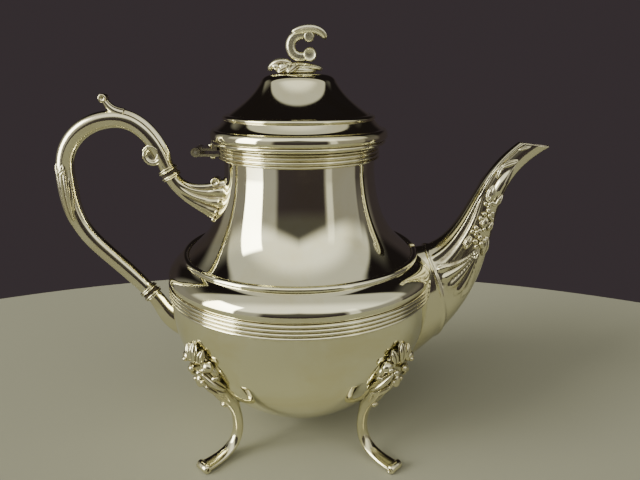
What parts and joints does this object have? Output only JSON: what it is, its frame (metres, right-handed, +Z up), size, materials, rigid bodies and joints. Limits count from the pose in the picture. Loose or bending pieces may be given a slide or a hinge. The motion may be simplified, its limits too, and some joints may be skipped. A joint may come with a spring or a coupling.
{
  "type": "coffee pot",
  "caption": "Footed metal coffee pot with a hinged domed lid, a swan-neck spout and a scroll handle held between insulated sockets.",
  "frame": {"origin": "on the body's axis, at the level that the four feet stand on", "axes": "+Z up, +X towards the spout, +Y to the side that is on the left when one looks from the handle along the spout"},
  "size_m": [0.246, 0.1356, 0.2096],
  "materials": {
    "sheet_silver": "polished silver plate, mirror bright, faintly warm",
    "cast_silver": "cast silver plate, polished on its high places and tarnished in its hollows",
    "pin_metal": "drawn nickel silver",
    "insulator": "dark pressed fibre"
  },
  "bodies": {
    "pot": {"lower_body": "sheet_silver", "upper_body": "sheet_silver", "girdle_moulding": "sheet_silver", "shoulder_moulding": "sheet_silver", "mouth_moulding": "sheet_silver", "spout": "cast_silver", "leg_front_left": "cast_silver", "leg_front_right": "cast_silver", "leg_rear_left": "cast_silver", "leg_rear_right": "cast_silver", "upper_socket": "cast_silver", "lower_socket": "cast_silver", "handle": "cast_silver", "hinge_body_leaf": "cast_silver", "upper_socket_pin": "pin_metal", "upper_handle_pin": "pin_metal", "lower_socket_pin": "pin_metal", "lower_handle_pin": "pin_metal", "hinge_pin": "pin_metal", "upper_insulator": "insulator", "lower_insulator": "insulator"},
    "lid": {"lid_dome": "sheet_silver", "lid_step_moulding": "sheet_silver", "lid_bezel": "sheet_silver", "finial": "cast_silver", "finial_stud": "pin_metal", "finial_washer": "pin_metal", "finial_nut": "pin_metal", "hinge_lid_leaf": "cast_silver"}
  },
  "joints": [
    {"name": "lid_hinge", "type": "hinge", "parent": "pot", "child": "lid", "pos_m": [-0.0503, 0, 0.1504], "axis": [0, -1, 0], "range_deg": [0, 95]}
  ]
}
